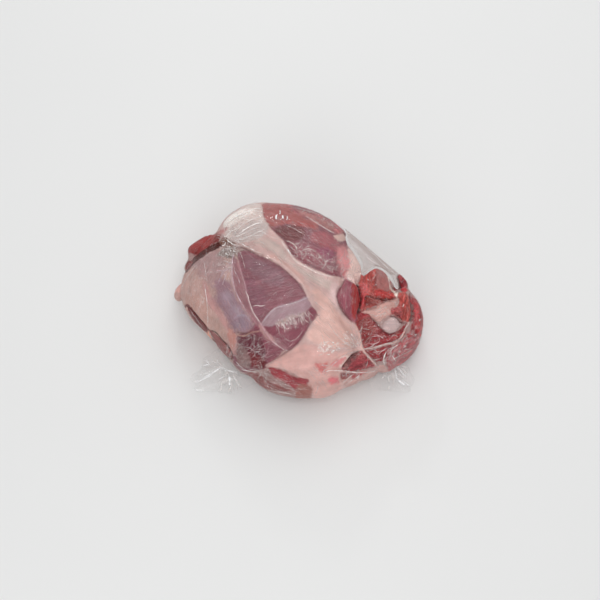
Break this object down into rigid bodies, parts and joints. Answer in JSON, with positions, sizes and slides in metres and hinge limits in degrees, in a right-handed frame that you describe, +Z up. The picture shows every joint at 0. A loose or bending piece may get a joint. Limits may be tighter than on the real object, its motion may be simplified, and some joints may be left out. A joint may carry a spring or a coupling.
{
  "type": "vacuum-packed raw beef knuckle",
  "caption": "Raw beef knuckle: a rounded joint of muscle under pale fascia and fat, cut across at one end and sealed in tight clear film with loose film corners.",
  "frame": {"origin": "on the surface that the pack lies on, under the middle of its bounding box", "axes": "+X along the joint from its thick round end to its cut end, +Y to the back, +Z up"},
  "size_m": [0.3116, 0.2536, 0.1196],
  "materials": {
    "meat_in_film": "wet red meat, pale fascia and fat under tight clear film",
    "clear_film": "clear, glossy and finely creased"
  },
  "bodies": {
    "root": {"bagged_knuckle": "meat_in_film", "bag_corner_left": "clear_film", "bag_corner_right": "clear_film"}
  },
  "joints": []
}
